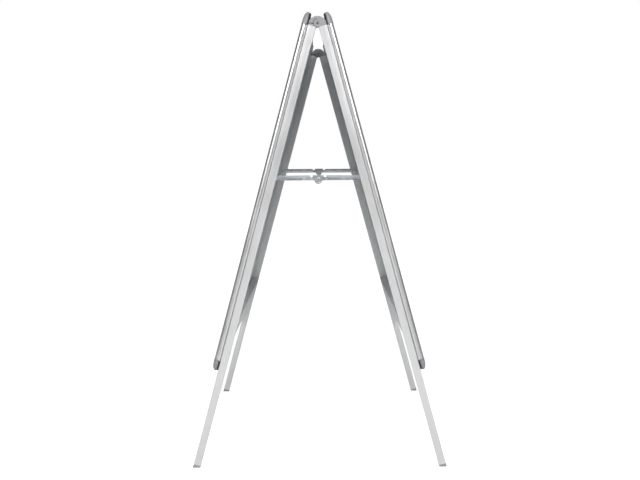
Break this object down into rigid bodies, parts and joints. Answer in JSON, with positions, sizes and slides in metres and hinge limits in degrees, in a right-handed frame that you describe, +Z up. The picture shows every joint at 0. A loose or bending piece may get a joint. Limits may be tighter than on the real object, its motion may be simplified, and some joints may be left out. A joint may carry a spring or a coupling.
{
  "type": "folding poster stand",
  "caption": "Double-sided folding A-frame poster stand: snap frames with rounded corners on tube legs, top hinges and folding stays.",
  "frame": {"origin": "on the floor, midway between the four feet", "axes": "+Z up, +X to the right seen from the front, front poster facing -Y"},
  "size_m": [0.6394, 0.6252, 1.0945],
  "materials": {
    "frame_aluminium": "satin anodised extrusion with fine lines along its length",
    "tube_aluminium": "satin anodised tube, finely brushed along its length",
    "grey_plastic": "fine-textured mid-grey moulding",
    "foot_plastic": "mid-grey moulding, lightly scuffed",
    "hinge_plastic": "mid-grey moulding with a slight sheen",
    "black_plastic": "matt black moulding",
    "galvanised_sheet": "thin galvanised sheet with a soft spangle",
    "clear_sheet": "clear anti-glare sheet",
    "spring_steel": "bright spring steel",
    "zinc_plate": "bright zinc plating with a faint blue-green cast"
  },
  "bodies": {
    "front_frame": {"front_base_rail_top": "frame_aluminium", "front_base_rail_bottom": "frame_aluminium", "front_base_rail_left": "frame_aluminium", "front_base_rail_right": "frame_aluminium", "front_corner_bases": "black_plastic", "front_corner_covers": "grey_plastic", "front_back_panel": "galvanised_sheet", "front_cover_sheet": "clear_sheet", "front_snap_springs": "spring_steel", "front_frame_rivets": "zinc_plate", "front_leg_left": "tube_aluminium", "front_leg_right": "tube_aluminium", "front_cross_bar": "tube_aluminium", "front_feet": "foot_plastic", "front_hinge_half_left": "hinge_plastic", "front_hinge_half_right": "hinge_plastic", "stay_pivot_front_left": "zinc_plate", "stay_pivot_front_right": "zinc_plate", "hinge_pin_left": "zinc_plate", "hinge_pin_right": "zinc_plate"},
    "rear_frame": {"rear_base_rail_top": "frame_aluminium", "rear_base_rail_bottom": "frame_aluminium", "rear_base_rail_left": "frame_aluminium", "rear_base_rail_right": "frame_aluminium", "rear_corner_bases": "black_plastic", "rear_corner_covers": "grey_plastic", "rear_back_panel": "galvanised_sheet", "rear_cover_sheet": "clear_sheet", "rear_snap_springs": "spring_steel", "rear_frame_rivets": "zinc_plate", "rear_leg_left": "tube_aluminium", "rear_leg_right": "tube_aluminium", "rear_cross_bar": "tube_aluminium", "rear_feet": "foot_plastic", "rear_hinge_half_left": "hinge_plastic", "rear_hinge_half_right": "hinge_plastic", "stay_pivot_rear_left": "zinc_plate", "stay_pivot_rear_right": "zinc_plate"},
    "front_snap_rail_top": {"front_snap_rail_top": "frame_aluminium"},
    "front_snap_rail_bottom": {"front_snap_rail_bottom": "frame_aluminium"},
    "front_snap_rail_left": {"front_snap_rail_left": "frame_aluminium"},
    "front_snap_rail_right": {"front_snap_rail_right": "frame_aluminium"},
    "rear_snap_rail_top": {"rear_snap_rail_top": "frame_aluminium"},
    "rear_snap_rail_bottom": {"rear_snap_rail_bottom": "frame_aluminium"},
    "rear_snap_rail_left": {"rear_snap_rail_left": "frame_aluminium"},
    "rear_snap_rail_right": {"rear_snap_rail_right": "frame_aluminium"},
    "stay_front_left": {"stay_arm_front_left": "zinc_plate", "stay_lock_plate_left": "zinc_plate", "stay_centre_rivet_left": "zinc_plate"},
    "stay_rear_left": {"stay_arm_rear_left": "zinc_plate", "stay_centre_stud_left": "zinc_plate"},
    "stay_front_right": {"stay_arm_front_right": "zinc_plate", "stay_lock_plate_right": "zinc_plate", "stay_centre_rivet_right": "zinc_plate"},
    "stay_rear_right": {"stay_arm_rear_right": "zinc_plate", "stay_centre_stud_right": "zinc_plate"}
  },
  "joints": [
    {"name": "fold", "type": "hinge", "parent": "front_frame", "child": "rear_frame", "pos_m": [0, 0, 1.066], "axis": [-1, 0, 0], "range_deg": [0, 30.68]},
    {"name": "front_snap_rail_top_open", "type": "hinge", "parent": "front_frame", "child": "front_snap_rail_top", "pos_m": [0, -0.0216, 1.08893], "axis": [-1, 0, 0], "range_deg": [0, 85]},
    {"name": "front_snap_rail_bottom_open", "type": "hinge", "parent": "front_frame", "child": "front_snap_rail_bottom", "pos_m": [0, -0.25313, 0.24491], "axis": [1, 0, 0], "range_deg": [0, 85]},
    {"name": "front_snap_rail_left_open", "type": "hinge", "parent": "front_frame", "child": "front_snap_rail_left", "pos_m": [-0.3141, -0.13737, 0.66692], "axis": [0, -0.2645, -0.9644], "range_deg": [0, 85]},
    {"name": "front_snap_rail_right_open", "type": "hinge", "parent": "front_frame", "child": "front_snap_rail_right", "pos_m": [0.3141, -0.13737, 0.66692], "axis": [0, 0.2645, 0.9644], "range_deg": [0, 85]},
    {"name": "rear_snap_rail_top_open", "type": "hinge", "parent": "rear_frame", "child": "rear_snap_rail_top", "pos_m": [0, 0.0216, 1.08893], "axis": [1, 0, 0], "range_deg": [0, 85]},
    {"name": "rear_snap_rail_bottom_open", "type": "hinge", "parent": "rear_frame", "child": "rear_snap_rail_bottom", "pos_m": [0, 0.25313, 0.24491], "axis": [-1, 0, 0], "range_deg": [0, 85]},
    {"name": "rear_snap_rail_left_open", "type": "hinge", "parent": "rear_frame", "child": "rear_snap_rail_left", "pos_m": [-0.3141, 0.13737, 0.66692], "axis": [0, -0.2645, 0.9644], "range_deg": [0, 85]},
    {"name": "rear_snap_rail_right_open", "type": "hinge", "parent": "rear_frame", "child": "rear_snap_rail_right", "pos_m": [0.3141, 0.13737, 0.66692], "axis": [0, 0.2645, -0.9644], "range_deg": [0, 85]},
    {"name": "stay_front_left_fold", "type": "hinge", "parent": "front_frame", "child": "stay_front_left", "pos_m": [-0.296, -0.1094, 0.70633], "axis": [1, 0, 0], "range_deg": [0, 69.24]},
    {"name": "stay_rear_left_fold", "type": "hinge", "parent": "rear_frame", "child": "stay_rear_left", "pos_m": [-0.296, 0.1094, 0.70633], "axis": [-1, 0, 0], "range_deg": [0, 69.24]},
    {"name": "stay_front_right_fold", "type": "hinge", "parent": "front_frame", "child": "stay_front_right", "pos_m": [0.296, -0.1094, 0.70633], "axis": [1, 0, 0], "range_deg": [0, 69.24]},
    {"name": "stay_rear_right_fold", "type": "hinge", "parent": "rear_frame", "child": "stay_rear_right", "pos_m": [0.296, 0.1094, 0.70633], "axis": [-1, 0, 0], "range_deg": [0, 69.24]}
  ],
  "couplings": [
    {"joint": "stay_front_left_fold", "follows": "fold", "ratio": 2.2566},
    {"joint": "stay_rear_left_fold", "follows": "fold", "ratio": 2.2566},
    {"joint": "stay_front_right_fold", "follows": "fold", "ratio": 2.2566},
    {"joint": "stay_rear_right_fold", "follows": "fold", "ratio": 2.2566}
  ]
}
